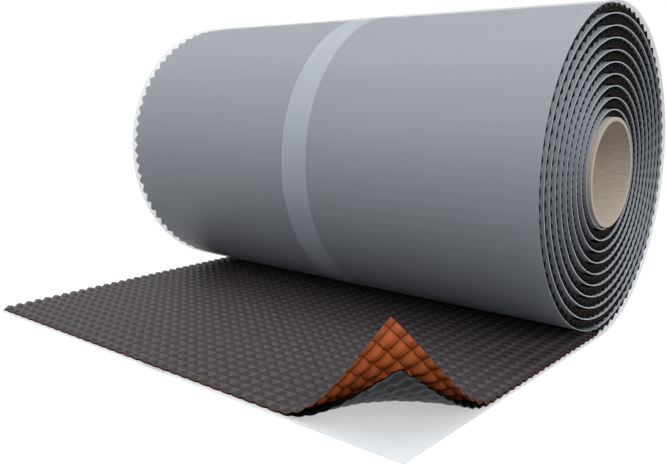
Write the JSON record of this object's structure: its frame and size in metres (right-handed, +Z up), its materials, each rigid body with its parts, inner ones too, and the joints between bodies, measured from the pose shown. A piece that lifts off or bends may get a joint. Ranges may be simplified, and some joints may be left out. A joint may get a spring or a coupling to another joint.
{
  "type": "roll of roof flashing",
  "caption": "Roll of crimped self-adhesive roof flashing on a cardboard tube, lying on its side with its end unrolled and a corner lifted.",
  "frame": {"origin": "on the floor, in the middle of the area that the part covers", "axes": "+X along the roll and its tube; -Y towards the unrolled end; +Z up"},
  "size_m": [0.28, 0.2566, 0.1652],
  "materials": {
    "cardboard": "matte",
    "coloured_foil": "satin",
    "butyl": "semi-gloss",
    "release_film": "satin"
  },
  "bodies": {
    "root": {"core_tube": "cardboard", "wound_roll": "butyl", "crimped_foil": "coloured_foil", "butyl_layer": "butyl", "release_film_left": "release_film", "release_film_right": "release_film"}
  },
  "joints": []
}
